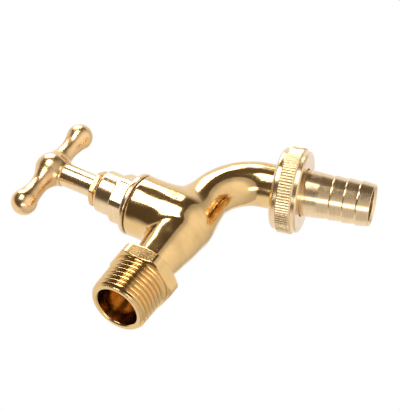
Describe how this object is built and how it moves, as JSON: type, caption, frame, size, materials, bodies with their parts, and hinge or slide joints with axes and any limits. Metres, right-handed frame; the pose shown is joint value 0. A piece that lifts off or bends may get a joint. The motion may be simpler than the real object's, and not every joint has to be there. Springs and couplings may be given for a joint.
{
  "type": "garden bib tap",
  "caption": "Brass screw-down garden tap with threaded inlet, cross-bar handle, swan-neck spout and a screwed hose union.",
  "frame": {"origin": "on the inlet axis, in the wall-side face of the inlet hexagon", "axes": "+X along the inlet axis away from the wall, +Z parallel to the spindle towards the handle, XZ is the casting's plane of symmetry"},
  "size_m": [0.0911, 0.03, 0.113],
  "materials": {
    "cast_brass": "cast, tumbled and polished bright",
    "turned_brass": "turned, fine tool marks, bright",
    "gland_brass": "turned from hexagon bar, slightly tarnished",
    "handle_brass": "cast, satin from tumbling",
    "fibre": "pressed fibre, matt",
    "packing": "soft packing, matt",
    "rubber": "moulded rubber, matt"
  },
  "bodies": {
    "tap_body": {"body": "cast_brass", "bonnet": "turned_brass", "bonnet_gasket": "fibre", "gland_screw": "gland_brass", "packing_ring_lower": "packing", "packing_ring_upper": "packing"},
    "valve": {"jumper": "turned_brass", "valve_washer": "rubber", "washer_nut": "turned_brass"},
    "handle_spindle": {"spindle": "turned_brass", "t_handle": "handle_brass"},
    "seal": {"hose_seal": "rubber"},
    "nut": {"union_nut": "turned_brass"},
    "tail": {"hose_tail": "turned_brass"}
  },
  "joints": [
    {"name": "valve_lift", "type": "slide", "parent": "tap_body", "child": "valve", "axis": [0, 0, 1], "range_m": [0, 0.005]},
    {"name": "spindle_turn", "type": "hinge", "parent": "valve", "child": "handle_spindle", "pos_m": [0.0294, 0, 0], "axis": [0, 0, 1], "range_deg": [0, 900]},
    {"name": "union_travel", "type": "slide", "parent": "tap_body", "child": "seal", "axis": [0.2521, 0, -0.9677], "range_m": [0, 0.00454]},
    {"name": "union_turn", "type": "hinge", "parent": "seal", "child": "nut", "pos_m": [0.0557, 0, 0], "axis": [0.2521, 0, -0.9677], "range_deg": [0, 900]},
    {"name": "tail_swivel", "type": "hinge", "parent": "seal", "child": "tail", "pos_m": [0.0557, 0, 0], "axis": [0.2521, 0, -0.9677], "continuous": true}
  ],
  "couplings": [
    {"joint": "valve_lift", "follows": "spindle_turn", "m_per_rad": 0.0003183},
    {"joint": "union_travel", "follows": "union_turn", "m_per_rad": 0.0002887}
  ]
}
